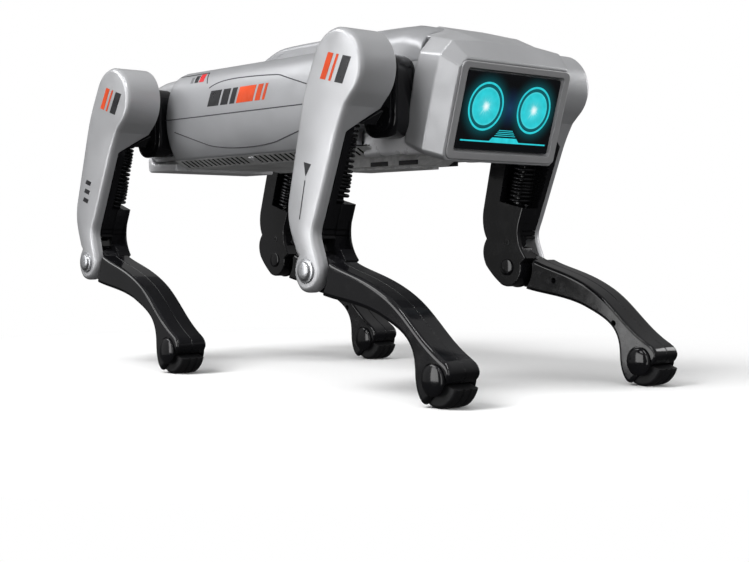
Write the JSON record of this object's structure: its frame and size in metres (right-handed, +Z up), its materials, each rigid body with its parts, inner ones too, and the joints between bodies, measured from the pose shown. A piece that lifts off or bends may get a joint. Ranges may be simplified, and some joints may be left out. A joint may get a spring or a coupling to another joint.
{
  "type": "robot dog toy",
  "caption": "Four-legged robot dog toy with a boxed screen head, a silver body with side panels, hinged spring legs and rubber foot pads.",
  "frame": {"origin": "on the ground under the middle of the bounding box", "axes": "+X towards the nose, +Y to the left side of the dog, +Z up"},
  "size_m": [0.4294, 0.2194, 0.2354],
  "materials": {
    "silver_plastic": "satin silver paint on moulded plastic",
    "bezel_plastic": "satin dark grey paint",
    "grey_plastic": "fine matt moulding texture",
    "black_gloss": "gloss black",
    "matte_black": "matt black",
    "dark_steel": "blackened spring wire",
    "silver_cap": "satin silver",
    "pad_rubber": "black rubber",
    "smoked_lens": "polished smoked acrylic",
    "teal_light": "lit teal light guide",
    "circuit_board": "green solder mask",
    "battery_wrap": "blue shrink wrap"
  },
  "bodies": {
    "root": {"body_upper_shell": "silver_plastic", "body_lower_shell": "grey_plastic", "left_side_panel": "silver_plastic", "right_side_panel": "silver_plastic", "dorsal_cover": "silver_plastic", "battery_box": "grey_plastic", "battery_door": "grey_plastic", "battery_pack": "battery_wrap", "main_board": "circuit_board", "speaker": "matte_black", "charging_socket": "matte_black", "head_shell": "silver_plastic", "head_bezel": "bezel_plastic", "display_lens": "smoked_lens", "left_eye_light": "teal_light", "right_eye_light": "teal_light", "display_board": "circuit_board", "front_left_hip_gearbox": "black_gloss", "front_right_hip_gearbox": "black_gloss", "rear_left_hip_gearbox": "black_gloss", "rear_right_hip_gearbox": "black_gloss"},
    "front_left_thigh": {"front_left_hip_hub": "black_gloss", "front_left_thigh_cover": "silver_plastic", "front_left_thigh_frame": "black_gloss", "front_left_thigh_spring": "dark_steel", "front_left_knee_pin": "silver_cap"},
    "front_left_shank": {"front_left_shank_outer": "black_gloss", "front_left_shank_inner": "black_gloss", "front_left_ankle_axle": "black_gloss"},
    "front_left_foot": {"front_left_foot_pad": "pad_rubber"},
    "front_right_thigh": {"front_right_hip_hub": "black_gloss", "front_right_thigh_cover": "silver_plastic", "front_right_thigh_frame": "black_gloss", "front_right_thigh_spring": "dark_steel", "front_right_knee_pin": "silver_cap"},
    "front_right_shank": {"front_right_shank_outer": "black_gloss", "front_right_shank_inner": "black_gloss", "front_right_ankle_axle": "black_gloss"},
    "front_right_foot": {"front_right_foot_pad": "pad_rubber"},
    "rear_left_thigh": {"rear_left_hip_hub": "black_gloss", "rear_left_thigh_cover": "silver_plastic", "rear_left_thigh_frame": "black_gloss", "rear_left_thigh_spring": "dark_steel", "rear_left_knee_pin": "silver_cap"},
    "rear_left_shank": {"rear_left_shank_outer": "black_gloss", "rear_left_shank_inner": "black_gloss", "rear_left_ankle_axle": "black_gloss"},
    "rear_left_foot": {"rear_left_foot_pad": "pad_rubber"},
    "rear_right_thigh": {"rear_right_hip_hub": "black_gloss", "rear_right_thigh_cover": "silver_plastic", "rear_right_thigh_frame": "black_gloss", "rear_right_thigh_spring": "dark_steel", "rear_right_knee_pin": "silver_cap"},
    "rear_right_shank": {"rear_right_shank_outer": "black_gloss", "rear_right_shank_inner": "black_gloss", "rear_right_ankle_axle": "black_gloss"},
    "rear_right_foot": {"rear_right_foot_pad": "pad_rubber"},
    "switch_knob": {"power_switch": "matte_black"}
  },
  "joints": [
    {"name": "front_left_hip", "type": "hinge", "parent": "root", "child": "front_left_thigh", "pos_m": [0.113, 0.093, 0.2015], "axis": [0, 1, 0], "range_deg": [-35, 35], "stiffness_Nm_per_rad": 40},
    {"name": "front_left_knee", "type": "hinge", "parent": "front_left_thigh", "child": "front_left_shank", "pos_m": [0.08394, 0.093, 0.07664], "axis": [0, 1, 0], "range_deg": [-20, 40], "stiffness_Nm_per_rad": 20},
    {"name": "front_left_ankle", "type": "hinge", "parent": "front_left_shank", "child": "front_left_foot", "pos_m": [0.19905, 0.093, 0.0164], "axis": [0, 1, 0], "range_deg": [-8, 8], "stiffness_Nm_per_rad": 0.15},
    {"name": "front_right_hip", "type": "hinge", "parent": "root", "child": "front_right_thigh", "pos_m": [0.113, -0.093, 0.2015], "axis": [0, 1, 0], "range_deg": [-35, 35], "stiffness_Nm_per_rad": 40},
    {"name": "front_right_knee", "type": "hinge", "parent": "front_right_thigh", "child": "front_right_shank", "pos_m": [0.08394, -0.093, 0.07664], "axis": [0, 1, 0], "range_deg": [-20, 40], "stiffness_Nm_per_rad": 20},
    {"name": "front_right_ankle", "type": "hinge", "parent": "front_right_shank", "child": "front_right_foot", "pos_m": [0.19905, -0.093, 0.0164], "axis": [0, 1, 0], "range_deg": [-8, 8], "stiffness_Nm_per_rad": 0.15},
    {"name": "rear_left_hip", "type": "hinge", "parent": "root", "child": "rear_left_thigh", "pos_m": [-0.1534, 0.093, 0.2015], "axis": [0, 1, 0], "range_deg": [-35, 35], "stiffness_Nm_per_rad": 40},
    {"name": "rear_left_knee", "type": "hinge", "parent": "rear_left_thigh", "child": "rear_left_shank", "pos_m": [-0.19131, 0.093, 0.07903], "axis": [0, 1, 0], "range_deg": [-20, 40], "stiffness_Nm_per_rad": 20},
    {"name": "rear_left_ankle", "type": "hinge", "parent": "rear_left_shank", "child": "rear_left_foot", "pos_m": [-0.07749, 0.093, 0.0164], "axis": [0, 1, 0], "range_deg": [-8, 8], "stiffness_Nm_per_rad": 0.15},
    {"name": "rear_right_hip", "type": "hinge", "parent": "root", "child": "rear_right_thigh", "pos_m": [-0.1534, -0.093, 0.2015], "axis": [0, 1, 0], "range_deg": [-35, 35], "stiffness_Nm_per_rad": 40},
    {"name": "rear_right_knee", "type": "hinge", "parent": "rear_right_thigh", "child": "rear_right_shank", "pos_m": [-0.19131, -0.093, 0.07903], "axis": [0, 1, 0], "range_deg": [-20, 40], "stiffness_Nm_per_rad": 20},
    {"name": "rear_right_ankle", "type": "hinge", "parent": "rear_right_shank", "child": "rear_right_foot", "pos_m": [-0.07749, -0.093, 0.0164], "axis": [0, 1, 0], "range_deg": [-8, 8], "stiffness_Nm_per_rad": 0.15},
    {"name": "power_switch_slide", "type": "slide", "parent": "root", "child": "switch_knob", "axis": [1, 0, 0], "range_m": [0, 0.005]}
  ]
}
